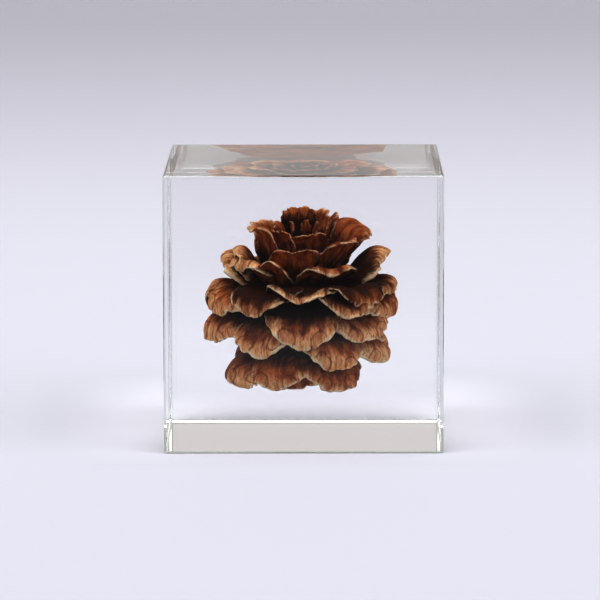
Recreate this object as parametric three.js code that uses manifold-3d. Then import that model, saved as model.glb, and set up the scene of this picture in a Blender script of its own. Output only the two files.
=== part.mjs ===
// An open conifer cone, shaped like a rose, sealed in a clear cast resin cube.
// Millimetres, +Z up. The origin is the middle of the cube's base, and the shown side faces -Y.
import * as THREE from "three";
import Module from "manifold-3d";
import { RoundedBoxGeometry } from "three/addons/geometries/RoundedBoxGeometry.js";
import { mergeVertices } from "three/addons/utils/BufferGeometryUtils.js";

const wasm = await Module();
wasm.setup();

// Cube
const BLOCK_SIDE = 40;
const BLOCK_EDGE_RADIUS = 0.35;
const BLOCK_EDGE_STEPS = 2;
const PARTING_HEIGHT = BLOCK_SIDE / 2;
const PARTING_GAP = 0.3;

// Pocket for the cone: distance from the cone's axis and height, from the bottom up
const POCKET_OUTLINE = [
  [0, 5.2],
  [10.4, 5.2],
  [13.6, 7.6],
  [16, 12],
  [16.2, 21],
  [14.8, 26.2],
  [12.2, 31.6],
  [9.2, 35.4],
  [0, 35.4],
];
const POCKET_SEGMENTS = 20;

// Cone: its axis stands a little to the left of the cube's middle
const CONE_OFFSET_X = -0.3;
const AXIS_OUTLINE = [
  [0, 9.4],
  [1.8, 9.4],
  [3.2, 12],
  [3.0, 18],
  [1.8, 24],
  [1.0, 28.5],
  [0, 30],
];
const AXIS_SEGMENTS = 10;

// Spiral of scales, counted from the newest one at the top
const SCALE_COUNT = 58;
const TURN_PER_SCALE = 138.5;
const FIRST_AZIMUTH = -5.5;
const ROOT_RADIUS = 1.6;
const ROOT_SHARE = 0.35; // the most that a small scale's root stands off the axis, as a share of its reach
const ROOT_SLOPE = 40; // steeper scales rise from this slope, as a bowl
const BOWL_END = 0.45;

// How the scales change down the spiral. tip and reach are the height and the distance from the axis of the
// middle of the rim, slope is the angle of the inner part above level, droop is how far the rim turns down from
// there, hold is the part of the length that doesn't turn down, arch is how far the sides hang below the middle,
// and blunt is the power of the fan's outline, 2 being round.
const STAGE_KEYS = ["scale", "tip", "reach", "slope", "droop", "hold", "width", "arch", "blunt"];
const STAGES = [
  [0, 32.1, 1.2, 88, 0, 0.7, 1.8, -0.2, 2.4],
  [4, 31.9, 3.0, 84, 10, 0.7, 3.4, -0.4, 2.4],
  [8, 31.0, 5.6, 74, 30, 0.75, 6.2, -0.6, 2.6],
  [13, 28.5, 8.2, 60, 30, 0.8, 8.0, -0.8, 2.7],
  [18, 26.4, 9.8, 44, 40, 0.8, 9.0, -0.8, 2.6],
  [22, 24.4, 11.9, 28, 60, 0.76, 10.0, -0.8, 2.5],
  [26, 21.6, 13.7, 7, 64, 0.7, 10.8, -1.0, 2.5],
  [33, 18.6, 14.1, 1, 74, 0.6, 11.4, -0.8, 2.3],
  [40, 14.8, 13.7, -7, 74, 0.52, 11.7, -0.6, 2.2],
  [46, 11.6, 12.8, -12, 66, 0.48, 11.4, 0.2, 2.2],
  [52, 8.8, 11.4, -18, 56, 0.44, 10.8, 0.6, 2.2],
  [57, 7.2, 10.2, -22, 50, 0.4, 10.2, 0.8, 2.2],
];

// Where single scales stand off the even spiral: turn, slope, droop and roll in degrees, hold as a share of the
// length, the others in millimetres. lift raises the tip, and roll raises the right side as seen from outside.
const WAYWARD = {
  0: { turn: 40 },
  1: { turn: -33, reach: 0.6, lift: -0.3 },
  2: { reach: -0.6, lift: -0.2 },
  3: { turn: 25, reach: 1.8, lift: 0.1, width: -0.6 },
  4: { turn: -2, reach: 1.0, lift: 1.7, width: 2.4, droop: 30 },
  5: { turn: -15, reach: 0.9, lift: -0.9, width: 2.4 },
  6: { turn: -5, reach: 1.0, lift: 1.5, width: 0.6 },
  7: { turn: 4, reach: -0.6, lift: 0.4, width: -1.2 },
  8: { turn: -3, reach: -1.2, lift: -0.7, width: 0.4 },
  9: { turn: -9, reach: -0.6, lift: 2.7, width: -1 },
  10: { turn: -7, reach: 1.4, lift: 0.9, droop: 40 },
  11: { turn: 2, reach: 0.8, lift: -0.2, width: -1 },
  12: { turn: 15, reach: 0.9, lift: 2.5, width: -0.6 },
  13: { turn: -2, reach: -0.6, lift: -0.3, droop: -20, width: 1.0, arch: -0.6 },
  14: { turn: -16, reach: 2.6, lift: 1.6, droop: 70, hold: -0.2, arch: 1.0, roll: 14 },
  15: { reach: 1.2, lift: -0.3, droop: 40, arch: 1.6, roll: -10 },
  16: { turn: 1, reach: 0, lift: 2.0, width: -1.0 },
  18: { turn: -9, reach: 0.4, lift: -0.3 },
  19: { turn: -20, reach: 2.2, lift: 0.8, droop: 30, arch: 1.6, roll: 20 },
  20: { turn: 20, reach: 1.0, lift: 0.2, droop: 40, arch: 1.4, width: -1, roll: -16 },
  21: { turn: 7, reach: -0.8, lift: 0.2 },
  23: { turn: -6, reach: -2.2, lift: 1.2, arch: 1.0, droop: 40 },
  24: { turn: 4, reach: 1.0, lift: -1.2, arch: 1.6, droop: 10, roll: 12 },
  26: { turn: 5, lift: -0.3, droop: -25, arch: -1.2 },
  28: { reach: -0.6, lift: -0.6, arch: 1.4, roll: -16 },
  29: { turn: -8 },
  31: { turn: 2, arch: -0.6 },
  32: { turn: -12, reach: -0.5, lift: 0.4, arch: 1.8, roll: 14 },
  34: { turn: 9, lift: 0.9, arch: -0.6 },
  36: { turn: -7, reach: -0.5, lift: 1.6, arch: 1.8, width: -1.4, roll: -12 },
  37: { turn: -2, reach: -0.5, lift: 1.6, arch: 1.8, roll: 14 },
  39: { turn: 5, lift: -0.9, arch: -1.0 },
  41: { turn: 12, reach: 0.1, lift: 0.1, arch: 1.8, width: -0.8, roll: -12 },
  42: { turn: 1, reach: -0.9, lift: 1.2, roll: 14 },
  44: { turn: 3, lift: 0.4 },
  45: { roll: 12 },
  46: { turn: -14, reach: -2.8 },
  47: { turn: 1, roll: -8 },
  49: { turn: 4, reach: -1.2, lift: -2.2, arch: 1.6, roll: -10 },
  50: { turn: -3, reach: 0.6, lift: 1.6, arch: 1.4, roll: 10 },
  52: { reach: -2.4, lift: -0.6 },
  55: { turn: -24, reach: 0.8 },
  57: { turn: 11, reach: 1.2, lift: 1.0 },
};

// Form of one scale
const SCALE_THICKNESS = 0.6;
const ROOT_WIDTH = 0.6; // as a share of the fan's width
const RIM_SEGMENTS = 10;
const BUD_COUNT = 12; // scales of the bud in the middle, which have fewer segments
const BUD_RIM_SEGMENTS = 8;
const FACE_SEGMENTS = 4;
const MIDLINE_STEPS = 24;
const FULL_WIDTH = 11;
const FAN_OPEN = 0.7; // share of the length at which the fan has its full width
const LOBE_HEIGHT = 0.45;
const LOBE_PLACE = 0.48; // share of the half width
const LOBE_SPREAD = 0.3;
const LOBE_START = [0.4, 0.8]; // shares of the length between which the lobes rise
const ARCH_START = [0.1, 0.8];
const RUFFLE_HEIGHT = 0.3;
const RUFFLE_WAVES = 5;
const RUFFLE_TURN = 2.4; // radians by which the waves move on from one scale to the next
const RUFFLE_START = [0.3, 0.7];

const COLOURS = { resin: "#dfe3e8", cone: "#7b4526" };

const blend = THREE.MathUtils.lerp;
const ramp = THREE.MathUtils.smoothstep;
const radians = THREE.MathUtils.degToRad;

// The stage values of a scale, read between the two stages around it.
function stageOf(scale) {
  const next = Math.max(1, STAGES.findIndex((stage) => stage[0] >= scale));
  const before = STAGES[next - 1];
  const after = STAGES[next];
  const part = (scale - before[0]) / (after[0] - before[0]);
  return Object.fromEntries(STAGE_KEYS.map((key, i) => [key, blend(before[i], after[i], part)]));
}

// The midline of a scale from root to rim: its distance from the axis, height and slope at each step.
function midlineOf({ tip, reach, slope, droop, hold }) {
  const steps = [{ out: 0, up: 0, slope: radians(Math.min(slope, ROOT_SLOPE)) }];
  for (let i = 1; i <= MIDLINE_STEPS; i++) {
    const last = steps[i - 1];
    const along = (i - 0.5) / MIDLINE_STEPS;
    const bowl = Math.max(slope - ROOT_SLOPE, 0) * (1 - ramp(along, 0, BOWL_END));
    const angle = radians(slope - bowl - droop * ramp(along, hold, 1));
    steps.push({
      out: last.out + Math.cos(angle) / MIDLINE_STEPS,
      up: last.up + Math.sin(angle) / MIDLINE_STEPS,
      slope: angle,
    });
  }
  const end = steps[MIDLINE_STEPS];
  const root = Math.min(ROOT_RADIUS, ROOT_SHARE * reach);
  const length = (reach - root) / end.out;
  return steps.map((step) => ({
    out: root + length * step.out,
    up: tip - length * (end.up - step.up),
    slope: step.slope,
  }));
}

// A point of the midline between its steps, with along running from 0 at the root to 1 at the rim.
function onMidline(midline, along) {
  const place = THREE.MathUtils.clamp(along, 0, 1) * MIDLINE_STEPS;
  const index = Math.min(Math.floor(place), MIDLINE_STEPS - 1);
  const part = place - index;
  const [a, b] = [midline[index], midline[index + 1]];
  return {
    out: blend(a.out, b.out, part),
    up: blend(a.up, b.up, part),
    slope: blend(a.slope, b.slope, part),
  };
}

// How much further than a circle the fan's outline reaches in a direction from its middle.
function bluntness(sine, cosine, blunt) {
  const power = cosine > 0 ? blunt : 2;
  return (Math.abs(sine) ** power + Math.abs(cosine) ** power) ** (-1 / power);
}

// One scale: a flattened sphere whose outline becomes a fan, bent along the midline. It has two low lobes side by
// side, arched, cupped or rolled sides and a waved rim.
function scaleGeometry(index) {
  const { turn = 0, lift: rise = 0, roll = 0, ...changes } = WAYWARD[index] ?? {};
  const stage = stageOf(index);
  stage.tip += rise;
  for (const [key, change] of Object.entries(changes)) stage[key] += change;
  const midline = midlineOf(stage);
  const azimuth = radians(FIRST_AZIMUTH + TURN_PER_SCALE * index + turn);
  const outward = new THREE.Vector3(Math.sin(azimuth), -Math.cos(azimuth), 0);
  const sideways = new THREE.Vector3(Math.cos(azimuth), Math.sin(azimuth), 0);
  const segments = index < BUD_COUNT ? BUD_RIM_SEGMENTS : RIM_SEGMENTS;
  const geometry = new THREE.SphereGeometry(1, segments, FACE_SEGMENTS, Math.PI / 2); // starts at the tip
  const position = geometry.getAttribute("position");
  const vertex = new THREE.Vector3();
  for (let i = 0; i < position.count; i++) {
    vertex.fromBufferAttribute(position, i);
    const angle = Math.atan2(vertex.x, vertex.z);
    const radius = Math.hypot(vertex.x, vertex.z);
    const outline = radius * bluntness(Math.sin(angle), Math.cos(angle), stage.blunt);
    const along = (1 + outline * Math.cos(angle)) / 2;
    const fan = blend(ROOT_WIDTH, 1, ramp(along, 0, FAN_OPEN));
    const across = outline * Math.sin(angle) * fan;
    const offLobe = (Math.abs(across) - LOBE_PLACE) / LOBE_SPREAD;
    const lobe = Math.exp(-(offLobe ** 2)) * ramp(along, ...LOBE_START);
    const rim = radius ** 4 * ramp(along, ...RUFFLE_START);
    const wave = Math.sin(RUFFLE_WAVES * angle + RUFFLE_TURN * index) * rim;
    const size = stage.width / FULL_WIDTH;
    const rolled = (Math.tan(radians(roll)) * across * stage.width) / 2;
    const hang = (stage.arch * across ** 2 - rolled) * ramp(along, ...ARCH_START);
    const lift = size * (LOBE_HEIGHT * lobe + RUFFLE_HEIGHT * wave) - hang + (SCALE_THICKNESS / 2) * vertex.y;
    const { out, up, slope } = onMidline(midline, along);
    vertex.copy(outward).multiplyScalar(out - Math.sin(slope) * lift);
    vertex.addScaledVector(sideways, (across * stage.width) / 2);
    vertex.z = up + Math.cos(slope) * lift;
    position.setXYZ(i, vertex.x + CONE_OFFSET_X, vertex.y, vertex.z);
  }
  return geometry;
}

// A solid turned about the cone's axis from its outline.
function turnedGeometry(outline, segments) {
  const points = outline.map(([radius, height]) => new THREE.Vector2(radius, height));
  return new THREE.LatheGeometry(points, segments).rotateX(Math.PI / 2).translate(CONE_OFFSET_X, 0, 0);
}

// A geometry as a solid for joining and cutting.
function solidOf(geometry) {
  const bare = geometry.clone();
  bare.deleteAttribute("normal");
  bare.deleteAttribute("uv");
  const merged = mergeVertices(bare, 1e-4);
  return new wasm.Manifold(
    new wasm.Mesh({
      numProp: 3,
      vertProperties: new Float32Array(merged.getAttribute("position").array),
      triVerts: new Uint32Array(merged.index.array),
    }),
  );
}

// A joined or cut solid as a geometry.
function geometryOf(solid) {
  const mesh = solid.getMesh();
  const geometry = new THREE.BufferGeometry();
  geometry.setAttribute("position", new THREE.BufferAttribute(mesh.vertProperties, 3));
  geometry.setIndex(new THREE.BufferAttribute(mesh.triVerts, 1));
  geometry.computeVertexNormals();
  return geometry;
}

// The cone: all the scales grown from one axis.
function coneSolid() {
  let cone = solidOf(turnedGeometry(AXIS_OUTLINE, AXIS_SEGMENTS));
  for (let index = 0; index < SCALE_COUNT; index++) cone = cone.add(solidOf(scaleGeometry(index)));
  const bodies = cone.decompose();
  return bodies.reduce((largest, body) => (body.volume() > largest.volume() ? body : largest));
}

// One half of the cube, between two heights, with its share of the pocket.
function resinSolid(low, high) {
  const cube = new RoundedBoxGeometry(BLOCK_SIDE, BLOCK_SIDE, BLOCK_SIDE, BLOCK_EDGE_STEPS, BLOCK_EDGE_RADIUS);
  cube.translate(0, 0, BLOCK_SIDE / 2);
  const keep = new THREE.BoxGeometry(2 * BLOCK_SIDE, 2 * BLOCK_SIDE, high - low).translate(0, 0, (low + high) / 2);
  const pocket = turnedGeometry(POCKET_OUTLINE, POCKET_SEGMENTS);
  return solidOf(cube).intersect(solidOf(keep)).subtract(solidOf(pocket));
}

function namedMesh(name, solid, material) {
  const mesh = new THREE.Mesh(geometryOf(solid), material);
  mesh.name = name;
  return mesh;
}

const resinLook = { color: COLOURS.resin, roughness: 0.05, metalness: 0, transparent: true, opacity: 0.3 };
const coneLook = { color: COLOURS.cone, roughness: 0.75, metalness: 0, side: THREE.DoubleSide };

const block = new THREE.Group();
block.name = "cone_in_resin_block";
block.add(
  namedMesh(
    "resin_lower",
    resinSolid(-1, PARTING_HEIGHT - PARTING_GAP / 2),
    new THREE.MeshStandardMaterial(resinLook),
  ),
  namedMesh(
    "resin_upper",
    resinSolid(PARTING_HEIGHT + PARTING_GAP / 2, BLOCK_SIDE + 1),
    new THREE.MeshStandardMaterial(resinLook),
  ),
  namedMesh("cone", coneSolid(), new THREE.MeshStandardMaterial(coneLook)),
);

export default block;
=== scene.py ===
"""An open conifer cone sealed in a clear cast resin cube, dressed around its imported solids."""

import math

import bmesh
import bpy
import numpy as np
from mathutils import Matrix, Vector


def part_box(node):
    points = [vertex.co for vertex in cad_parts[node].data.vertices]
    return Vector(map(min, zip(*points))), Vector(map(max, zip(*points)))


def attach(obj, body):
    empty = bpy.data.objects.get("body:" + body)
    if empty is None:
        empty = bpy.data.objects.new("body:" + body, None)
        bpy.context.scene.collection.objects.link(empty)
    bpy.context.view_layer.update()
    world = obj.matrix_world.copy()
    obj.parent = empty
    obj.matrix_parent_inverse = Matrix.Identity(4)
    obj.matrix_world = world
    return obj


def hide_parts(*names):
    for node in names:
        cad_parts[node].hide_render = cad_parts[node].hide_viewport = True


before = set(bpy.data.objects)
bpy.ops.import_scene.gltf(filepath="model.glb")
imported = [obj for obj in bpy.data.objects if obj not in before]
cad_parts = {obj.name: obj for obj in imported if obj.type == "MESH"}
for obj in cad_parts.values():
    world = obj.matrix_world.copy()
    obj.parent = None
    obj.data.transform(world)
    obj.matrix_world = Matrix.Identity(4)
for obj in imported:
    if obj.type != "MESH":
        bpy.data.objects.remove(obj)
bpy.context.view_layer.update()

bl_info = {
    "name": "Cone in Resin",
    "version": (1, 0, 0),
    "blender": (4, 5, 0),
    "location": "3D View > Sidebar > Cone in Resin",
    "description": "Builds a conifer cone sealed in a clear resin cube, with its floor, light and camera",
    "category": "Add Mesh",
}

MM = 0.001
MM_PER_METRE = 1000
BLOCK_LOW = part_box("resin_lower")[0]
BLOCK_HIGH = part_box("resin_upper")[1]
BLOCK_SIDE = BLOCK_HIGH.x - BLOCK_LOW.x
BODY = "root"
EDGE_SEGMENTS = 6

# Axis of the cone, in millimetres: it stands a little to the left of the cube's middle, and its outline is
# given as distance and height. Two spirals, as waves round the axis and radians a millimetre, roughen it.
CONE_OFFSET_X = -0.3
AXIS_OUTLINE = [(0, 9.4), (1.8, 9.4), (3.2, 12), (3.0, 18), (1.8, 24), (1.0, 28.5), (0, 30)]
AXIS_SPIRALS = ((5, 2.4), (8, -1.7))
AXIS_RELIEF = 0.08
AXIS_STEPS = 60
AXIS_SIDES = 72

# Spiral of scales, counted from the newest one at the top, with angles in degrees
SCALE_COUNT = 58
TURN_PER_SCALE = 138.5
FIRST_AZIMUTH = -5.5
ROOT_RADIUS = 1.6
ROOT_SHARE = 0.35
ROOT_SLOPE = 40
BOWL_END = 0.45

# How the scales change down the spiral, in millimetres and degrees: the height and reach of the middle of the
# rim, the slope of the inner part, how far the rim droops from there, the share of the length that holds
# straight, the width, the arch across and how blunt the tip is.
STAGE_KEYS = ("scale", "tip", "reach", "slope", "droop", "hold", "width", "arch", "blunt")
STAGES = np.array([
    (0, 32.1, 1.2, 88, 0, 0.7, 1.8, -0.2, 2.4),
    (4, 31.9, 3.0, 84, 10, 0.7, 3.4, -0.4, 2.4),
    (8, 31.0, 5.6, 74, 30, 0.75, 6.2, -0.6, 2.6),
    (13, 28.5, 8.2, 60, 30, 0.8, 8.0, -0.8, 2.7),
    (18, 26.4, 9.8, 44, 40, 0.8, 9.0, -0.8, 2.6),
    (22, 24.4, 11.9, 28, 60, 0.76, 10.0, -0.8, 2.5),
    (26, 21.6, 13.7, 7, 64, 0.7, 10.8, -1.0, 2.5),
    (33, 18.6, 14.1, 1, 74, 0.6, 11.4, -0.8, 2.3),
    (40, 14.8, 13.7, -7, 74, 0.52, 11.7, -0.6, 2.2),
    (46, 11.6, 12.8, -12, 66, 0.48, 11.4, 0.2, 2.2),
    (52, 8.8, 11.4, -18, 56, 0.44, 10.8, 0.6, 2.2),
    (57, 7.2, 10.2, -22, 50, 0.4, 10.2, 0.8, 2.2),
])

# Where single scales stand off the even spiral: turn, slope, droop and roll in degrees, hold as a share of
# the length, the others in millimetres
WAYWARD = {
    0: {"turn": 40},
    1: {"turn": -33, "reach": 0.6, "lift": -0.3},
    2: {"reach": -0.6, "lift": -0.2},
    3: {"turn": 25, "reach": 1.8, "lift": 0.1, "width": -0.6},
    4: {"turn": -2, "reach": 1.0, "lift": 1.7, "width": 2.4, "droop": 30},
    5: {"turn": -15, "reach": 0.9, "lift": -0.9, "width": 2.4},
    6: {"turn": -5, "reach": 1.0, "lift": 1.5, "width": 0.6},
    7: {"turn": 4, "reach": -0.6, "lift": 0.4, "width": -1.2},
    8: {"turn": -3, "reach": -1.2, "lift": -0.7, "width": 0.4},
    9: {"turn": -9, "reach": -0.6, "lift": 2.7, "width": -1},
    10: {"turn": -7, "reach": 1.4, "lift": 0.9, "droop": 40},
    11: {"turn": 2, "reach": 0.8, "lift": -0.2, "width": -1},
    12: {"turn": 15, "reach": 0.9, "lift": 2.5, "width": -0.6},
    13: {"turn": -2, "reach": -0.6, "lift": -0.3, "droop": -20, "width": 1.0, "arch": -0.6},
    14: {"turn": -16, "reach": 2.6, "lift": 1.6, "droop": 70, "hold": -0.2, "arch": 1.0, "roll": 14},
    15: {"reach": 1.2, "lift": -0.3, "droop": 40, "arch": 1.6, "roll": -10},
    16: {"turn": 1, "lift": 2.0, "width": -1.0},
    18: {"turn": -9, "reach": 0.4, "lift": -0.3},
    19: {"turn": -20, "reach": 2.2, "lift": 0.8, "droop": 30, "arch": 1.6, "roll": 20},
    20: {"turn": 20, "reach": 1.0, "lift": 0.2, "droop": 40, "arch": 1.4, "width": -1, "roll": -16},
    21: {"turn": 7, "reach": -0.8, "lift": 0.2},
    22: {"lift": 2.0},
    23: {"turn": -6, "reach": -2.2, "lift": 1.2, "arch": 1.0, "droop": 40},
    24: {"turn": 4, "reach": 1.0, "lift": -1.2, "arch": 1.6, "droop": 10, "roll": 12},
    25: {"lift": 2.0},
    26: {"turn": 5, "lift": -0.3, "slope": -5, "droop": -44, "arch": -1.2},
    28: {"reach": -0.6, "lift": -0.6, "arch": 1.4, "roll": -16},
    29: {"turn": -8},
    31: {"turn": 2, "slope": -20, "droop": -50, "arch": -0.6},
    32: {"turn": -12, "reach": -0.5, "lift": 0.4, "arch": 1.8, "roll": 14},
    34: {"turn": 9, "lift": 0.9, "slope": -18, "droop": -46, "arch": -0.6},
    36: {"turn": -7, "reach": -0.5, "lift": 1.6, "arch": 1.8, "width": -1.4, "roll": -12},
    37: {"turn": -2, "reach": -0.5, "lift": 1.6, "arch": 1.8, "roll": 14},
    39: {"turn": 5, "lift": -0.9, "slope": -14, "droop": -30, "arch": -1.0},
    41: {"turn": 12, "reach": 0.1, "lift": 0.1, "arch": 1.8, "width": -0.8, "roll": -12},
    42: {"turn": 1, "reach": -0.9, "lift": 1.2, "slope": -8, "droop": -20, "roll": 14},
    44: {"turn": 3, "lift": 0.4, "slope": -12, "droop": -26, "arch": -0.5},
    45: {"roll": 12},
    46: {"turn": -14, "reach": -3.8, "lift": 0.6},
    47: {"turn": 1, "slope": -8, "droop": -16, "roll": -8},
    49: {"turn": 4, "reach": -1.2, "lift": -2.2, "arch": 1.6, "roll": -10},
    50: {"turn": -3, "reach": 0.6, "lift": 1.6, "arch": 1.4, "roll": 10},
    52: {"reach": -2.4, "lift": -0.6},
    53: {"reach": -2.4},
    55: {"turn": -24, "reach": 0.8},
    57: {"turn": 11, "reach": 1.2, "lift": 1.0},
}

# How pale the outer parts of single scales are, from 0 to 1, and the least and the spread for the others.
# This is partly the scales' own colour and partly painted light: the scales at the sides, which the softboxes
# light, are set paler.
PALE_USUAL = (0.25, 0.3)
PALE = {
    4: 0.5, 5: 0.45, 6: 0.5, 7: 0.5, 8: 0.45, 9: 0.7, 10: 0.75, 11: 0.4, 12: 0.75, 13: 0.45,
    14: 0.8, 15: 0.9, 16: 0.5, 18: 0.5, 19: 0.75, 20: 0.95, 21: 0.55, 23: 0.95, 24: 0.7, 26: 0.7,
    28: 1.0, 29: 0.5, 31: 0.6, 32: 1.0, 33: 0.9, 34: 0.6, 36: 0.95, 37: 0.9, 39: 0.9, 41: 0.95,
    42: 0.95, 44: 0.95, 45: 0.95, 47: 0.95, 49: 1.0, 50: 1.0, 52: 0.4, 55: 0.7, 57: 0.75,
}

# How far the painted shade on the inner part of single scales reaches, as a share of the length: near black
# where the scales above and around would shade them
PAINTED_SHADE_USUAL = 0.7
PAINTED_SHADE = {
    4: 0.85, 5: 0.8, 6: 0.86, 7: 0.8, 8: 0.85, 9: 0.62, 13: 0.85, 14: 0.58, 15: 0.82, 16: 0.85,
    18: 0.8, 19: 0.92, 20: 0.84, 21: 0.92, 23: 0.8, 24: 0.96, 26: 1.0, 28: 0.8, 29: 0.97, 31: 0.98,
    32: 0.8, 34: 0.97, 36: 0.78, 37: 0.8, 39: 0.78, 41: 0.74, 42: 0.76, 44: 0.74, 45: 0.74, 47: 0.7,
    49: 0.68, 52: 0.62, 55: 0.74, 57: 0.7,
}

# The scales between which the look changes from the bud's to a grown one's
YOUNG_RANGE = (8, 24)

# Seed of the tones, which make each scale's pattern its own
TONE_SEED = 11

RELIEF_TREE = "scale_relief"
CONE_MATERIAL = "dry_cone_scale"

# Form of one scale, in millimetres, radians and shares of its length or half width
MIDLINE_STEPS = 24
FULL_WIDTH = 11
ROOT_WIDTH = 0.6
FAN_OPEN = 0.7
LOBE_HEIGHT = 0.45
LOBE_PLACE = 0.48
LOBE_SPREAD = 0.3
LOBE_START = (0.4, 0.8)
ARCH_START = (0.1, 0.8)
RUFFLE_HEIGHT = 0.3
RUFFLE_WAVES = 5
RUFFLE_TURN = 2.4
RUFFLE_START = (0.3, 0.7)
CURL_START = (0.84, 1.08)
FRONT_START = (-0.6, 0.2)

# Random lines along the rim: the range of waves round the scale, how fast the finer ones fade, and the seed
# of the first scale
RAGGED_LINE = ((4, 30), 0.6, 100)
CRINKLE_LINE = ((7, 19), 0.3, 500)
CURL_LINE = ((2, 7), 0.4, 700)
NOTCH_SEED = 300
NOTCH_COUNT = (4, 8)
NOTCH_REACH = 1.9
NOTCH_WIDTH = (0.02, 0.055)
NOTCH_DEPTH = (0.3, 1.0)

# Fineness of the scale meshes
SPOKES = 104
RINGS = (0.12, 0.26, 0.4, 0.52, 0.63, 0.72, 0.79, 0.85, 0.9, 0.94, 0.975, 1.0)
CONE_PARTS = {"scales_crown": range(0, 20), "scales_middle": range(20, 40), "scales_base": range(40, 58)}

# Patterns on the scales: where their lines fan out from, how they are stretched along and across, and how far
# each scale's pattern is moved by its tone
FAN_ORIGIN = 0.25
FAN_WIDTH = 1.6
FAN_LENGTH = 0.4
HAIR_LENGTH = 0.15
FAN_SHIFT = 40.0
PATCH_WIDTH = 1.2
PATCH_LENGTH = 1.6
PATCH_SHIFT = 70.0
SPECK_LENGTH = 1.2
SPECK_SHIFT = 90.0

# The two seed marks of a scale, in half widths across and shares of its length
SEED_ACROSS = 0.42
SEED_ALONG = 0.9
SEED_WIDTH = 0.22
SEED_LENGTH = 0.085

# Flakes on the rims, as shares of their size, and the place on the rim that their colour is read from
FLAKE_FORM = (1.6, 1.0, 0.35)
FLAKE_SIZES = (0.5, 1.5)
FLAKE_RIM = 0.94

# Where the paper changes colour from front to back, in metres. The change from near to far is painted light:
# darker paper in front and lighter paper behind stand in for the softboxes' falloff.
NEAR_RANGE = (-0.2, 0.35)
FAR_RANGE = (0.35, 0.9)
FRONT_RANGE = (-0.12, -0.18)
RISEN_RANGE = (0.0, 0.1)

# Where a pool of light is painted on the paper round the block, in place of the light that the block gathers,
# in metres: its front, its back and its sides
PAINTED_POOL_FRONT = (-0.03, 0.0)
PAINTED_POOL_BACK = (0.018, 0.055)
PAINTED_POOL_SIDES = (0.015, 0.04)

# Sheet of paper, in metres: half its width, its front, its back, its top, the radius of its bend, and how far
# it lies below the block
PAPER_HALF = 2.5
PAPER_FRONT = -2.0
PAPER_BACK = 1.3
PAPER_TOP = 1.6
PAPER_BEND = 0.6
PAPER_DROP = 0.02 * MM
BEND_STEPS = 16

# Lights: the colour of the even light, and each softbox with its place and size in metres
DAYLIGHT_COLOUR = (0.96, 0.97, 1.0, 1.0)
SOFTBOX_AIM = (0, 0, 0.02)
SOFTBOXES = (
    ("top_softbox", (0, -0.22, 0.88), 0.9, "top_power"),
    ("left_softbox", (-0.9, -0.35, 0.45), 0.8, "side_power"),
    ("right_softbox", (0.9, -0.35, 0.45), 0.8, "side_power"),
)

# Camera of the photograph, in millimetres and degrees
CAMERA_PLACE = (3.0, -633.2, 113.9)
CAMERA_PAN = -0.326
CAMERA_TILT = 8.504
CAMERA_ROLL = -0.126
CAMERA_LENS = 261.2
SENSOR_WIDTH = 36.0
VIEW_GAMMA = 0.7


def ramp(value, low, high):
    """Smooth step from 0 at low to 1 at high."""
    part = np.clip((np.asarray(value, float) - low) / (high - low), 0, 1)
    return part * part * (3 - 2 * part)


def stage_of(index):
    """The stage values of a scale, read between the two stages around it."""
    stage = {key: np.interp(index, STAGES[:, 0], STAGES[:, i]) for i, key in enumerate(STAGE_KEYS)}
    wayward = WAYWARD.get(index, {})
    stage["tip"] += wayward.get("lift", 0)
    for key in ("reach", "slope", "droop", "hold", "width", "arch"):
        stage[key] += wayward.get(key, 0)
    stage["roll"] = math.tan(math.radians(wayward.get("roll", 0)))
    stage["azimuth"] = math.radians(FIRST_AZIMUTH + TURN_PER_SCALE * index + wayward.get("turn", 0))
    return stage


def midline_of(stage):
    """Distance from the axis, height and slope of a scale's midline at each step from root to rim."""
    along = (np.arange(MIDLINE_STEPS) + 0.5) / MIDLINE_STEPS
    bowl = max(stage["slope"] - ROOT_SLOPE, 0) * (1 - ramp(along, 0, BOWL_END))
    slope = np.radians(stage["slope"] - bowl - stage["droop"] * ramp(along, stage["hold"], 1))
    out = np.concatenate([[0], np.cumsum(np.cos(slope))]) / MIDLINE_STEPS
    up = np.concatenate([[0], np.cumsum(np.sin(slope))]) / MIDLINE_STEPS
    root = min(ROOT_RADIUS, ROOT_SHARE * stage["reach"])
    length = (stage["reach"] - root) / out[-1]
    return root + length * out, stage["tip"] - length * (up[-1] - up), np.concatenate([slope[:1], slope])


def wander(angle, index, waves, fade, seed):
    """A smooth random line round the rim of a scale, between -1 and 1."""
    random = np.random.default_rng(seed + index)
    line = np.zeros_like(angle)
    for count in range(*waves):
        phase = random.uniform(0, 2 * math.pi)
        line += random.normal() * np.sin(count * angle + phase) / count ** fade
    return line / max(np.abs(line).max(), 1e-6)


def notches(angle, index):
    """Narrow cuts in the rim of a scale at random places, up to 1 at the bottom of each."""
    random = np.random.default_rng(NOTCH_SEED + index)
    cut = np.zeros_like(angle)
    for _ in range(random.integers(*NOTCH_COUNT)):
        place = random.uniform(-NOTCH_REACH, NOTCH_REACH)
        width = random.uniform(*NOTCH_WIDTH)
        depth = random.uniform(*NOTCH_DEPTH)
        cut = np.maximum(cut, depth * np.exp(-(((angle - place) / width) ** 2)))
    return cut


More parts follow.
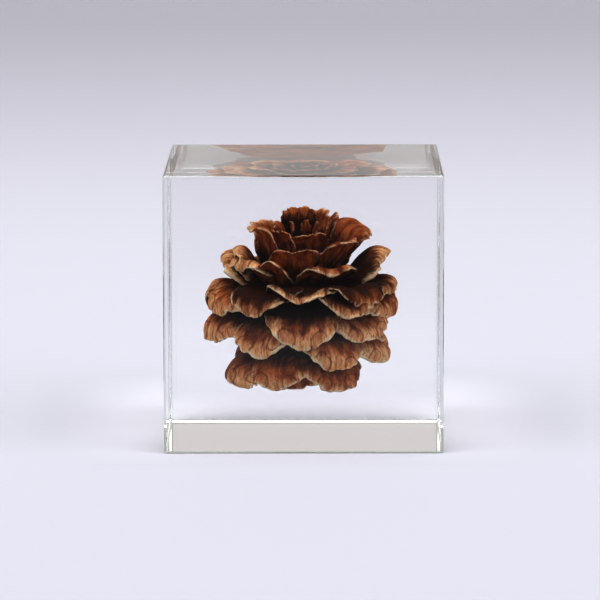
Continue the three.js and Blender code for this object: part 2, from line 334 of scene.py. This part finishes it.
def scale_vertices(index, across, ahead, side, settings):
    """Places of a scale's vertices in millimetres, from disc coordinates and side, 1 above and -1 below."""
    stage = stage_of(index)
    size = stage["width"] / FULL_WIDTH
    angle = np.arctan2(across, ahead)
    radius = np.hypot(across, ahead)
    power = np.where(ahead > 0, stage["blunt"], 2)
    blunt = (np.abs(np.sin(angle)) ** power + np.abs(np.cos(angle)) ** power) ** (-1 / power)
    across, ahead = across * blunt, ahead * blunt
    front = ramp(np.cos(angle), *FRONT_START)
    ragged = settings.ragged * MM_PER_METRE / (0.5 * stage["width"])
    edge = 1 + ragged * front * (0.5 * wander(angle, index, *RAGGED_LINE) - notches(angle, index))
    stretch = 1 + (edge - 1) * radius ** 5
    across, ahead = across * stretch, ahead * stretch
    along = (1 + ahead) / 2
    fan = ROOT_WIDTH + (1 - ROOT_WIDTH) * ramp(along, 0, FAN_OPEN)
    spread = across * fan
    lobe = np.exp(-(((np.abs(spread) - LOBE_PLACE) / LOBE_SPREAD) ** 2)) * ramp(along, *LOBE_START)
    rim = radius ** 4 * ramp(along, *RUFFLE_START)
    wave = np.sin(RUFFLE_WAVES * angle + RUFFLE_TURN * index) * rim
    crinkle = wander(angle, index, *CRINKLE_LINE) * radius ** 7 * front
    curl = ramp(radius, *CURL_START) * front * (1 + 0.6 * wander(angle, index, *CURL_LINE))
    hang = stage["arch"] * spread ** 2 - stage["roll"] * spread * stage["width"] / 2
    lift = size * (LOBE_HEIGHT * lobe + RUFFLE_HEIGHT * wave) - hang * ramp(along, *ARCH_START)
    lift += size * (settings.crinkle * MM_PER_METRE * crinkle - settings.curl * MM_PER_METRE * curl)
    inside = (settings.thickness - settings.rim_thickness) * (1 - radius ** 3)
    lift = lift + side * (0.5 * MM_PER_METRE * (settings.rim_thickness + inside))
    out, up, slope = midline_of(stage)
    steps = np.linspace(0, 1, MIDLINE_STEPS + 1)
    out, up, slope = (np.interp(along, steps, line) for line in (out, up, slope))
    out = out - np.sin(slope) * lift
    up = up + np.cos(slope) * lift
    sideways = spread * stage["width"] / 2
    sine, cosine = math.sin(stage["azimuth"]), math.cos(stage["azimuth"])
    x = out * sine + sideways * cosine + CONE_OFFSET_X
    y = -out * cosine + sideways * sine
    return np.stack([x, y, up], 1), spread, along


def scale_grid():
    """One closed disc mesh: its coordinates across and ahead, its side and its faces."""
    angles = 2 * math.pi * np.arange(SPOKES) / SPOKES
    rings = np.array(RINGS)
    across = (rings[:, None] * np.sin(angles)).ravel()
    ahead = (rings[:, None] * np.cos(angles)).ravel()
    across, ahead = np.append(across, 0), np.append(ahead, 0)
    count = len(across)
    faces = []
    for ring in range(len(rings) - 1):
        for spoke in range(SPOKES):
            after = (spoke + 1) % SPOKES
            inner, outer = ring * SPOKES, (ring + 1) * SPOKES
            faces.append((inner + spoke, inner + after, outer + after, outer + spoke))
    for spoke in range(SPOKES):
        faces.append((count - 1, (spoke + 1) % SPOKES, spoke))
    above = [tuple(reversed(face)) for face in faces]
    below = [tuple(i + count for i in face) for face in faces]
    last = (len(rings) - 1) * SPOKES
    wall = []
    for spoke in range(SPOKES):
        after = (spoke + 1) % SPOKES
        wall.append((last + spoke, last + after, last + after + count, last + spoke + count))
    side = np.concatenate([np.ones(count), -np.ones(count)])
    return np.tile(across, 2), np.tile(ahead, 2), side, above + below + wall


def scale_values(index, tone, across, ahead, side, spread, along):
    """What the material and the relief read at each vertex of a scale."""
    even = np.ones(len(across))
    least, spreading = PALE_USUAL
    return {
        "across": spread,
        "along": along,
        "rim": np.hypot(across, ahead),
        "tone": even * tone,
        "pale": even * PALE.get(index, least + spreading * tone),
        "shade": even * PAINTED_SHADE.get(index, PAINTED_SHADE_USUAL),
        "young": even * (1 - ramp(index, *YOUNG_RANGE)),
        "upper": (side > 0).astype(float),
    }


def new_piece(name, vertices, faces, values, material):
    """A finished mesh object with smooth faces pointing outwards and its named point values."""
    mesh = bpy.data.meshes.new(name)
    mesh.from_pydata(vertices.tolist(), [], faces)
    for key, numbers in values.items():
        attribute = mesh.attributes.new(key, "FLOAT", "POINT")
        attribute.data.foreach_set("value", np.asarray(numbers, np.float32))
    shape = bmesh.new()
    shape.from_mesh(mesh)
    bmesh.ops.recalc_face_normals(shape, faces=shape.faces)
    shape.to_mesh(mesh)
    shape.free()
    mesh.polygons.foreach_set("use_smooth", [True] * len(mesh.polygons))
    mesh.materials.append(material)
    piece = bpy.data.objects.new(name, mesh)
    bpy.context.scene.collection.objects.link(piece)
    return piece


def settle(piece, slot, *nodes):
    """Rides the piece on the root body in place of the CAD nodes."""
    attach(piece, BODY)
    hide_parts(*nodes)


def grow_relief(piece, settings, material):
    """Runs the relief tree on a piece and keeps the result as its plain mesh."""
    tree = bpy.data.node_groups.get(RELIEF_TREE) or relief_tree()
    values = {
        "Rib Height": settings.rib_height,
        "Wart Height": settings.wart_height,
        "Flake Density": settings.flake_density,
        "Flake Size": settings.flake_size,
        "Seed": settings.seed,
        "Material": material,
    }
    modifier = piece.modifiers.new("relief", "NODES")
    modifier.node_group = tree
    for item in tree.interface.items_tree:
        if item.in_out == "INPUT" and item.name in values:
            modifier[item.identifier] = values[item.name]
    plain = piece.data
    grown = piece.evaluated_get(bpy.context.evaluated_depsgraph_get())
    piece.data = bpy.data.meshes.new_from_object(grown)
    piece.data.name = plain.name
    piece.modifiers.clear()
    if not piece.data.polygons:
        raise RuntimeError("The relief tree gave no faces for " + piece.name)
    bpy.data.meshes.remove(plain)


class Value:
    """A node socket that takes part in Python arithmetic."""

    def __init__(self, graph, socket):
        self.graph = graph
        self.socket = socket

    def other(self, output):
        """Another output of the same node."""
        return Value(self.graph, self.socket.node.outputs[output])

    def _math(self, operation, *inputs):
        return self.graph.node("ShaderNodeMath", {"operation": operation}, dict(enumerate(inputs)))

    def __add__(self, other):
        return self._math("ADD", self, other)

    def __radd__(self, other):
        return self._math("ADD", other, self)

    def __sub__(self, other):
        return self._math("SUBTRACT", self, other)

    def __rsub__(self, other):
        return self._math("SUBTRACT", other, self)

    def __mul__(self, other):
        return self._math("MULTIPLY", self, other)

    def __rmul__(self, other):
        return self._math("MULTIPLY", other, self)

    def __truediv__(self, other):
        return self._math("DIVIDE", self, other)

    def __pow__(self, other):
        return self._math("POWER", self, other)

    def __abs__(self):
        return self._math("ABSOLUTE", self)


class Graph:
    """A node tree, built by calls."""

    def __init__(self, tree):
        self.tree = tree
        tree.nodes.clear()

    def node(self, kind, settings=None, inputs=None, output=0):
        """One node: its type, its settings, and the values or links of its sockets.

        A list gives one socket several links.
        """
        made = self.tree.nodes.new(kind)
        for key, value in (settings or {}).items():
            setattr(made, key, value)
        for key, value in (inputs or {}).items():
            for part in value if isinstance(value, list) else [value]:
                if isinstance(part, Value):
                    self.tree.links.new(part.socket, made.inputs[key])
                else:
                    made.inputs[key].default_value = part
        return Value(self, made.outputs[output]) if made.outputs else None

    def step(self, value, low, high):
        """0 below low, 1 above high and smooth between."""
        return self.node(
            "ShaderNodeMapRange",
            {"interpolation_type": "SMOOTHSTEP"},
            {"Value": value, "From Min": low, "From Max": high},
        )

    def join(self, x, y, z):
        """A vector of three values."""
        return self.node("ShaderNodeCombineXYZ", None, {"X": x, "Y": y, "Z": z})

    def noise(self, place, scale, detail, roughness):
        """Noise between 0 and 1 at the given coordinates."""
        inputs = {"Vector": place, "Scale": scale, "Detail": detail, "Roughness": roughness}
        return self.node("ShaderNodeTexNoise", None, inputs)


class Shading(Graph):
    """The node tree of a new material."""

    def __init__(self, name):
        self.material = bpy.data.materials.new(name)
        self.material.use_nodes = True
        super().__init__(self.material.node_tree)

    def attribute(self, name):
        """A point value of the mesh."""
        return self.node("ShaderNodeAttribute", {"attribute_name": name}, output="Fac")

    def mix(self, factor, first, second):
        """Colour mix. The node repeats its socket names for each data type, so they are given by number."""
        return self.node("ShaderNodeMix", {"data_type": "RGBA"}, {0: factor, 6: first, 7: second}, output=2)

    def output(self, shader, volume=None):
        """The output node. Returns the material."""
        inputs = {"Surface": shader}
        if volume:
            inputs["Volume"] = volume
        self.node("ShaderNodeOutputMaterial", None, inputs)
        return self.material


def fan_place(graph, across, along, tone, length):
    """Coordinates of lines that fan out from behind the root and differ from scale to scale."""
    return graph.join(across / (along + FAN_ORIGIN) * FAN_WIDTH, along * length, tone * FAN_SHIFT)


def patch_place(graph, across, along, tone):
    """Coordinates of patches that differ from scale to scale."""
    return graph.join(across * PATCH_WIDTH, along * PATCH_LENGTH, tone * PATCH_SHIFT)


def relief_tree():
    """Geometry nodes that raise ribs and warts on the scales and strew small flakes along the rims."""
    tree = bpy.data.node_groups.new(RELIEF_TREE, "GeometryNodeTree")
    socket = tree.interface.new_socket
    socket("Geometry", in_out="INPUT", socket_type="NodeSocketGeometry")
    for name, kind in (
        ("Rib Height", "Float"),
        ("Wart Height", "Float"),
        ("Flake Density", "Float"),
        ("Flake Size", "Float"),
        ("Seed", "Int"),
        ("Material", "Material"),
    ):
        socket(name, in_out="INPUT", socket_type="NodeSocket" + kind)
    socket("Geometry", in_out="OUTPUT", socket_type="NodeSocketGeometry")
    graph = Graph(tree)
    given = graph.node("NodeGroupInput").other

    def stored(name):
        return graph.node("GeometryNodeInputNamedAttribute", {"data_type": "FLOAT"}, {"Name": name})

    across, along, tone, rim, upper = (stored(name) for name in ("across", "along", "tone", "rim", "upper"))
    ribs = graph.noise(fan_place(graph, across, along, tone, FAN_LENGTH), 13.0, 2.0, 0.5) - 0.5
    warts = graph.noise(patch_place(graph, across, along, tone), 6.0, 3.0, 0.6) - 0.5
    height = (ribs * given("Rib Height") + warts * given("Wart Height")) * graph.step(along, 0.25, 0.6)
    normal = graph.node("GeometryNodeInputNormal")
    raise_by = graph.node("ShaderNodeVectorMath", {"operation": "SCALE"}, {0: normal, "Scale": height})
    raised = graph.node("GeometryNodeSetPosition", None, {"Geometry": given("Geometry"), "Offset": raise_by})

    strewn = graph.step(rim, 0.72, 1.0) * upper * given("Flake Density")
    scatter = graph.node(
        "GeometryNodeDistributePointsOnFaces",
        None,
        {"Mesh": raised, "Density": strewn, "Seed": given("Seed")},
        output="Points",
    )
    points = graph.node(
        "GeometryNodeStoreNamedAttribute",
        {"data_type": "FLOAT", "domain": "POINT"},
        {"Geometry": scatter, "Name": "rim", "Value": FLAKE_RIM},
    )
    flake = graph.node("GeometryNodeMeshIcoSphere", None, {"Radius": 1.0, "Subdivisions": 1})
    smallest, largest = FLAKE_SIZES
    share = graph.node(
        "FunctionNodeRandomValue",
        {"data_type": "FLOAT"},
        {2: smallest, 3: largest, "Seed": given("Seed")},
        output=1,
    )
    size = share * given("Flake Size")
    flakes = graph.node(
        "GeometryNodeInstanceOnPoints",
        None,
        {
            "Points": points,
            "Instance": flake,
            "Rotation": scatter.other("Rotation"),
            "Scale": graph.join(*(size * form for form in FLAKE_FORM)),
        },
    )
    joined = graph.node("GeometryNodeJoinGeometry", None, {"Geometry": [flakes, raised]})
    real = graph.node("GeometryNodeRealizeInstances", None, {"Geometry": joined})
    smooth = graph.node("GeometryNodeSetShadeSmooth", None, {"Geometry": real})
    painted = graph.node("GeometryNodeSetMaterial", None, {"Geometry": smooth, "Material": given("Material")})
    graph.node("NodeGroupOutput", None, {"Geometry": painted})
    return tree


def cone_material(settings):
    """Dry cone scale: near black painted shade inside, red-brown outside, tan streaked fan and rim, two seed
    marks.
    """
    graph = Shading(CONE_MATERIAL)
    across, along, rim, tone = (graph.attribute(name) for name in ("across", "along", "rim", "tone"))
    pale, shade, young, upper = (graph.attribute(name) for name in ("pale", "shade", "young", "upper"))
    streaks = graph.noise(fan_place(graph, across, along, tone, FAN_LENGTH), 14.0, 4.0, 0.7)
    lines = graph.noise(fan_place(graph, across, along, tone, HAIR_LENGTH), 60.0, 2.0, 0.6)
    patches = graph.noise(patch_place(graph, across, along, tone), 3.5, 4.0, 0.6)
    uneven = graph.step(streaks * 0.25 + patches * 0.75, 0.32, 0.68)
    speck_place = graph.join(across, along * SPECK_LENGTH, tone * SPECK_SHIFT)
    specks = graph.noise(speck_place, 17.0, 3.0, 0.65)
    seed_across = (abs(across) - SEED_ACROSS) / SEED_WIDTH
    seed_reach = along + (tone - 0.5) * 0.08 + across * (tone - 0.5) * 0.12
    seed_along = (seed_reach - SEED_ALONG) / SEED_LENGTH
    seed = (seed_across ** 2.0 + seed_along ** 2.0) ** 0.5 + (patches - 0.5) * 0.9
    seed_line = (1 - graph.step(abs(seed - 1.0), 0.03, 0.18)) * upper * (1 - young)
    seed_mark = (1 - graph.step(seed, 0.7, 1.05)) * upper * (1 - young)
    # Painted shade: up to this reach along each scale, the colour is the near black inner colour, where the
    # scales above would shade it.
    beyond_painted_shade = graph.step(along + (patches - 0.5) * 0.26 + (streaks - 0.5) * 0.12 - shade, -0.18, 0.13)
    light_body = graph.mix(uneven, settings.body_dark, settings.body_light)
    red_body = graph.mix(uneven, settings.body_dark, settings.body_red)
    # Paler scales take the lighter body colour. This is partly their own colour and partly painted light.
    body = graph.mix(graph.step(pale, 0.05, 0.6), red_body, light_body)
    colour = graph.mix(beyond_painted_shade, settings.inner, body)
    # Painted shade on the undersides: they darken to the near black inner colour towards the root.
    lower = graph.step(along + (patches - 0.5) * 0.45 + (streaks - 0.5) * 0.1, 0.36, 0.96)
    underside = graph.mix(lower, settings.inner, graph.mix(uneven, settings.under, settings.under_light))
    colour = graph.mix(upper, underside, colour)
    reach = along * 0.5 + rim * 0.5 + (streaks - 0.5) * 0.2 + (patches - 0.5) * 0.45
    # Tan fans: the scales' own colour, grown larger by painted light where single scales are set paler.
    fan = graph.step(reach - (1 - pale) * 0.46, 0.66, 0.94)
    veins = graph.step(lines * 0.45 + streaks * 0.25 + patches * 0.3, 0.34, 0.64)
    tan = graph.mix(veins, settings.rim_dark, settings.rim)
    colour = graph.mix(fan * (upper * 0.5 + 0.5), colour, tan)
    colour = graph.mix(seed_mark * 0.2 * beyond_painted_shade, colour, settings.body_red)
    colour = graph.mix(seed_line * 0.6 * beyond_painted_shade, colour, settings.body_dark)
    colour = graph.mix(graph.step(specks, 0.5, 0.72) * 0.6 * beyond_painted_shade, colour, settings.body_dark)
    edge = graph.step(rim + (patches - 0.5) * 0.24 + (streaks - 0.5) * 0.12, 0.96, 1.0)
    edge = edge * graph.step(along, 0.5, 0.8) * (pale * 0.8 + 0.15) * (1 - young * 0.55)
    colour = graph.mix(edge, colour, settings.edge)
    relief = lines * 0.4 + streaks * 0.35 + patches * 0.4 - specks * 0.5 - seed_line * 0.7
    bump = graph.node("ShaderNodeBump", None, {"Strength": 0.9, "Distance": 0.2 * MM, "Height": relief})
    surface = {
        "Base Color": colour,
        "Roughness": graph.step(streaks, 0.2, 0.9) * 0.2 + 0.6,
        "Specular IOR Level": 0.15,
        "Normal": bump,
    }
    return graph.output(graph.node("ShaderNodeBsdfPrincipled", None, surface))


def resin_material(settings):
    """Clear cast resin: plain transmission, index and a little absorption."""
    graph = Shading("clear_resin")
    shader = graph.node(
        "ShaderNodeBsdfPrincipled",
        None,
        {
            "Base Color": (1.0, 1.0, 1.0, 1.0),
            "Roughness": 0.0,
            "IOR": settings.index,
            "Transmission Weight": 1.0,
        },
    )
    volume = graph.node(
        "ShaderNodeVolumeAbsorption",
        None,
        {"Color": settings.tint, "Density": settings.density},
    )
    return graph.output(shader, volume)


def paper_material(settings):
    """Pale studio paper: painted shade darkens it towards the front and it is lighter towards the back, with
    a painted pool of light round the block, a painted glow on the wall behind and a dark strip in front.
    """
    graph = Shading("studio_paper")
    place = graph.node("ShaderNodeTexCoord", output="Object")
    across = graph.node("ShaderNodeSeparateXYZ", None, {0: place})
    back, height = across.other("Y"), across.other("Z")
    # Painted pool of light: the paper round the block is lighter where the block's shadow falls.
    painted_light_pool = graph.step(back, *PAINTED_POOL_FRONT) * (1 - graph.step(back, *PAINTED_POOL_BACK))
    painted_light_pool = painted_light_pool * (1 - graph.step(abs(across), *PAINTED_POOL_SIDES))
    colour = graph.mix(graph.step(back, *NEAR_RANGE), settings.near, settings.middle)
    colour = graph.mix(graph.step(back, *FAR_RANGE), colour, settings.far)
    colour = graph.mix(painted_light_pool, colour, settings.painted_light_pool)
    risen = graph.step(height, *RISEN_RANGE)
    colour = graph.mix(risen, colour, settings.high)
    colour = graph.mix(graph.step(back, *FRONT_RANGE), colour, settings.front)
    surface = {
        "Base Color": colour,
        "Roughness": 0.9,
        "Specular IOR Level": 0.1,
        # Painted light: the wall behind glows in its own colour, though it is no lamp.
        "Emission Color": graph.mix(risen, (0.0, 0.0, 0.0, 1.0), settings.high),
        "Emission Strength": settings.painted_wall_glow,
    }
    return graph.output(graph.node("ShaderNodeBsdfPrincipled", None, surface))


def colour_property(name, description, default):
    """A colour that a user may change."""
    return bpy.props.FloatVectorProperty(
        name=name, description=description, default=(*default, 1.0), size=4, subtype="COLOR", min=0, max=1
    )


def length_property(name, description, millimetres):
    """A length that a user may change, with its default in millimetres."""
    return bpy.props.FloatProperty(
        name=name, description=description, default=millimetres * MM, unit="LENGTH", precision=5, min=0
    )


def number_property(name, description, default, least=0):
    """A plain number that a user may change."""
    return bpy.props.FloatProperty(name=name, description=description, default=default, min=least)


class ConeSettings(bpy.types.PropertyGroup):
    """Sizes and colours of the cone."""

    thickness: length_property("Scale thickness", "Thickness in the middle of a scale", 0.5)
    rim_thickness: length_property("Rim thickness", "Thickness at the edge of a scale", 0.2)
    ragged: length_property("Ragged rim", "How far the edge wanders in and out", 0.42)
    crinkle: length_property("Crinkle", "Height of the fine waves near the edge", 0.2)
    curl: length_property("Curl", "How far the edge rolls down", 0.75)
    rib_height: length_property("Rib height", "Height of the ribs that fan out to the rim", 0.14)
    wart_height: length_property("Wart height", "Height of the uneven patches", 0.18)
    flake_density: number_property("Flake density", "Flakes per square metre of rim", 0.5e6)
    flake_size: length_property("Flake size", "Half length of a loose flake", 0.06)
    seed: bpy.props.IntProperty(name="Seed", description="Seed of the flakes", default=4, min=0)
    # Inner is painted shade: this near black colour stands in for the shade deep between the scales.
    inner: colour_property("Inner", "Colour deep between the scales", (0.045, 0.01, 0.003))
    body_dark: colour_property("Body, dark", "Darker streaks of the scales", (0.2, 0.034, 0.006))
    body_red: colour_property("Body, red", "Lighter streaks of the redder scales", (0.5, 0.13, 0.031))
    body_light: colour_property("Body, light", "Lighter streaks of the scales", (0.72, 0.235, 0.072))
    under: colour_property("Underside, dark", "Darker parts of the lower faces", (0.22, 0.038, 0.007))
    under_light: colour_property("Underside, light", "Lighter parts of the lower faces", (0.72, 0.2, 0.05))
    rim_dark: colour_property("Fan, dark", "Darker lines of the pale fans", (0.8, 0.3, 0.092))
    rim: colour_property("Fan", "Pale outer part of the scales", (1.0, 0.71, 0.41))
    edge: colour_property("Edge", "Worn edge of the scales", (1.0, 0.83, 0.58))


class ResinSettings(bpy.types.PropertyGroup):
    """Sizes and optics of the resin cube."""

    edge_radius: length_property("Edge radius", "Rounding of the cube's edges", 0.35)
    index: number_property("Index", "Index of refraction", 1.5, 1)
    density: number_property("Density", "Absorption per metre", 1.2)
    tint: colour_property("Tint", "Colour left after absorption", (0.9, 0.93, 0.9))


class StudioSettings(bpy.types.PropertyGroup):
    """Floor, light and camera."""

    # A painted pool of light: paper made lighter round the block.
    painted_light_pool: colour_property("Paper, lit", "Paper that gets the light gathered by the block", (0.82, 0.82, 0.88))
    # Near, middle and far paint the light's falloff: darker paper in front, lighter behind.
    near: colour_property("Paper, near", "Paper in front of the block", (0.49, 0.49, 0.536))
    middle: colour_property("Paper, middle", "Paper behind the block", (0.615, 0.61, 0.665))
    far: colour_property("Paper, far", "Paper at the back", (0.66, 0.65, 0.705))
    high: colour_property("Paper, high", "Paper above the floor at the back", (0.78, 0.75, 0.73))
    front: colour_property("Paper, front", "Paper in front of the camera's view", (0.14, 0.14, 0.15))
    # Painted light: the glow of the wall behind, which is no lamp.
    painted_wall_glow: number_property("Wall glow", "Light from the wall at the back", 0.13)
    daylight: number_property("Dome", "Strength of the even light", 0.34)
    top_power: number_property("Top", "Power of the top softbox in watts", 11.5)
    side_power: number_property("Sides", "Power of each side softbox in watts", 4.0)


class CONE_OT_scales(bpy.types.Operator):
    """Make the cone's scales"""

    bl_idname = "specimen.make_scales"
    bl_label = "Cone scales"

    def execute(self, context):
        settings = context.scene.cone_settings
        material = cone_material(settings)
        tones = np.random.default_rng(TONE_SEED).uniform(0, 1, SCALE_COUNT)
        across, ahead, side, faces = scale_grid()
        for name, indices in CONE_PARTS.items():
            vertices, all_faces, rows = [], [], []
            for order, index in enumerate(indices):
                places, spread, along = scale_vertices(index, across, ahead, side, settings)
                vertices.append(places * MM)
                all_faces += [tuple(i + order * len(across) for i in face) for face in faces]
                rows.append(scale_values(index, tones[index], across, ahead, side, spread, along))
            values = {key: np.concatenate([row[key] for row in rows]) for key in rows[0]}
            piece = new_piece(name, np.concatenate(vertices), all_faces, values, material)
            grow_relief(piece, settings, material)
            settle(piece, "cone_scales", "cone")
        return {"FINISHED"}


class CONE_OT_axis(bpy.types.Operator):
    """Make the axis that the scales grow from"""

    bl_idname = "specimen.make_axis"
    bl_label = "Cone axis"

    def execute(self, context):
        material = bpy.data.materials.get(CONE_MATERIAL)
        if material is None:
            raise RuntimeError("The axis has the material of the scales, so the scales are made first")
        radii, heights = zip(*AXIS_OUTLINE)
        run = np.linspace(0, 1, AXIS_STEPS)
        marks = np.linspace(0, 1, len(radii))
        radius = np.interp(run, marks, radii)[:, None]
        height = np.interp(run, marks, heights)[:, None]
        angle = 2 * math.pi * np.arange(AXIS_SIDES) / AXIS_SIDES
        spiral = np.prod([np.cos(waves * angle + height * twist) for waves, twist in AXIS_SPIRALS], 0)
        wide = radius * (1 + AXIS_RELIEF * spiral)
        x = wide * np.cos(angle) + CONE_OFFSET_X
        y = wide * np.sin(angle)
        z = np.repeat(height, AXIS_SIDES, 1)
        vertices = np.stack([x, y, z], 2)[1:-1].reshape(-1, 3)
        ends = np.array([(CONE_OFFSET_X, 0, heights[0]), (CONE_OFFSET_X, 0, heights[-1])])
        vertices = np.concatenate([vertices, ends]) * MM
        faces = []
        for low in range(0, (AXIS_STEPS - 3) * AXIS_SIDES, AXIS_SIDES):
            high = low + AXIS_SIDES
            for i in range(AXIS_SIDES):
                j = (i + 1) % AXIS_SIDES
                faces.append((low + i, low + j, high + j, high + i))
        low_end, high_end = len(vertices) - 2, len(vertices) - 1
        last = (AXIS_STEPS - 3) * AXIS_SIDES
        for i in range(AXIS_SIDES):
            j = (i + 1) % AXIS_SIDES
            faces.append((low_end, j, i))
            faces.append((high_end, last + i, last + j))
        # The axis takes the inner colour all over, as near black painted shade.
        flat = np.zeros(len(vertices))
        values = {key: flat for key in ("across", "along", "rim", "tone", "pale", "young")}
        values.update({key: flat + 1 for key in ("shade", "upper")})
        piece = new_piece("cone_axis", vertices, faces, values, material)
        settle(piece, "cone_scales", "cone")
        return {"FINISHED"}


class CONE_OT_resin(bpy.types.Operator):
    """Make the clear cube around the cone"""

    bl_idname = "specimen.make_resin"
    bl_label = "Resin cube"

    def execute(self, context):
        settings = context.scene.resin_settings
        shape = bmesh.new()
        middle = (BLOCK_LOW + BLOCK_HIGH) / 2
        span = BLOCK_HIGH - BLOCK_LOW
        place = Matrix.Translation(middle) @ Matrix.Diagonal((*span, 1))
        bmesh.ops.create_cube(shape, size=1, matrix=place)
        bmesh.ops.bevel(
            shape,
            geom=list(shape.edges) + list(shape.verts),
            offset=settings.edge_radius,
            offset_type="OFFSET",
            segments=EDGE_SEGMENTS,
            profile=0.5,
            affect="EDGES",
        )
        mesh = bpy.data.meshes.new("resin_cube")
        shape.to_mesh(mesh)
        shape.free()
        flat_area = BLOCK_SIDE ** 2 / 2
        mesh.polygons.foreach_set("use_smooth", [face.area < flat_area for face in mesh.polygons])
        mesh.materials.append(resin_material(settings))
        piece = bpy.data.objects.new("resin_cube", mesh)
        context.scene.collection.objects.link(piece)
        settle(piece, "clear_resin", "resin_lower", "resin_upper")
        return {"FINISHED"}


class CONE_OT_studio(bpy.types.Operator):
    """Make the floor, the light and the camera"""

    bl_idname = "specimen.make_studio"
    bl_label = "Studio"

    def execute(self, context):
        settings = context.scene.studio_settings
        self.paper(context, settings)
        self.lights(context, settings)
        self.camera(context)
        return {"FINISHED"}

    def paper(self, context, settings):
        """A sheet that lies flat under the block and rises far behind it."""
        profile = [(PAPER_FRONT, 0.0)]
        for i in range(BEND_STEPS + 1):
            turn = math.pi / 2 * i / BEND_STEPS
            y = PAPER_BACK - PAPER_BEND + PAPER_BEND * math.sin(turn)
            profile.append((y, PAPER_BEND - PAPER_BEND * math.cos(turn)))
        profile.append((PAPER_BACK, PAPER_TOP))
        vertices = [(x, y, z - PAPER_DROP) for y, z in profile for x in (-PAPER_HALF, PAPER_HALF)]
        faces = [(2 * i, 2 * i + 1, 2 * i + 3, 2 * i + 2) for i in range(len(profile) - 1)]
        mesh = bpy.data.meshes.new("studio_paper")
        mesh.from_pydata(vertices, [], faces)
        mesh.polygons.foreach_set("use_smooth", [True] * len(faces))
        mesh.materials.append(paper_material(settings))
        sheet = bpy.data.objects.new("studio_paper", mesh)
        context.scene.collection.objects.link(sheet)

    def lights(self, context, settings):
        """An even light from all round and three softboxes."""
        world = bpy.data.worlds.new("even_light")
        context.scene.world = world
        world.use_nodes = True
        background = world.node_tree.nodes["Background"]
        background.inputs["Color"].default_value = DAYLIGHT_COLOUR
        background.inputs["Strength"].default_value = settings.daylight
        for name, place, size, power in SOFTBOXES:
            light = bpy.data.lights.new(name, "AREA")
            light.shape = "SQUARE"
            light.size = size
            light.energy = getattr(settings, power)
            box = bpy.data.objects.new(name, light)
            box.location = place
            box.rotation_mode = "QUATERNION"
            box.rotation_quaternion = (Vector(SOFTBOX_AIM) - Vector(place)).to_track_quat("-Z", "Y")
            context.scene.collection.objects.link(box)

    def camera(self, context):
        """The camera that took the photograph, as far as the block's corners tell it."""
        data = bpy.data.cameras.new("photo_camera")
        data.sensor_width = SENSOR_WIDTH
        data.lens = CAMERA_LENS
        data.clip_start, data.clip_end = 0.05, 20
        camera = bpy.data.objects.new("photo_camera", data)
        camera.location = [value * MM for value in CAMERA_PLACE]
        pan, tilt, roll = (math.radians(value) for value in (CAMERA_PAN, CAMERA_TILT, CAMERA_ROLL))
        turn = Matrix.Rotation(-pan, 3, "Z") @ Matrix.Rotation(math.pi / 2 - tilt, 3, "X")
        turn = turn @ Matrix.Rotation(roll, 3, "Z")
        camera.rotation_euler = turn.to_euler()
        context.scene.collection.objects.link(camera)
        context.scene.camera = camera
        context.scene.view_settings.view_transform = "Standard"
        context.scene.view_settings.gamma = VIEW_GAMMA


class CONE_PT_panel(bpy.types.Panel):
    """Lists the pieces of the specimen"""

    bl_label = "Cone in Resin"
    bl_idname = "CONE_PT_panel"
    bl_space_type = "VIEW_3D"
    bl_region_type = "UI"
    bl_category = "Cone in Resin"

    def draw(self, context):
        """The settings of each group, with the buttons that make its pieces."""
        scene = context.scene
        for title, group, operators in (
            ("Cone", scene.cone_settings, (CONE_OT_scales, CONE_OT_axis)),
            ("Resin", scene.resin_settings, (CONE_OT_resin,)),
            ("Studio", scene.studio_settings, (CONE_OT_studio,)),
        ):
            box = self.layout.box()
            box.label(text=title)
            for key in group.__annotations__:
                box.prop(group, key)
            for operator in operators:
                box.operator(operator.bl_idname)


SETTINGS = {
    "cone_settings": ConeSettings,
    "resin_settings": ResinSettings,
    "studio_settings": StudioSettings,
}
OPERATORS = (CONE_OT_studio, CONE_OT_scales, CONE_OT_axis, CONE_OT_resin)


def register():
    """Adds the classes and their settings to Blender."""
    for kind in (*SETTINGS.values(), *OPERATORS, CONE_PT_panel):
        bpy.utils.register_class(kind)
    for name, kind in SETTINGS.items():
        setattr(bpy.types.Scene, name, bpy.props.PointerProperty(type=kind))


def unregister():
    """Takes the classes and their settings out again."""
    for name in SETTINGS:
        delattr(bpy.types.Scene, name)
    for kind in reversed((*SETTINGS.values(), *OPERATORS, CONE_PT_panel)):
        bpy.utils.unregister_class(kind)


def main():
    """Makes everything."""
    register()
    bpy.ops.specimen.make_studio()
    bpy.ops.specimen.make_scales()
    bpy.ops.specimen.make_axis()
    bpy.ops.specimen.make_resin()


if __name__ == "__main__":
    main()
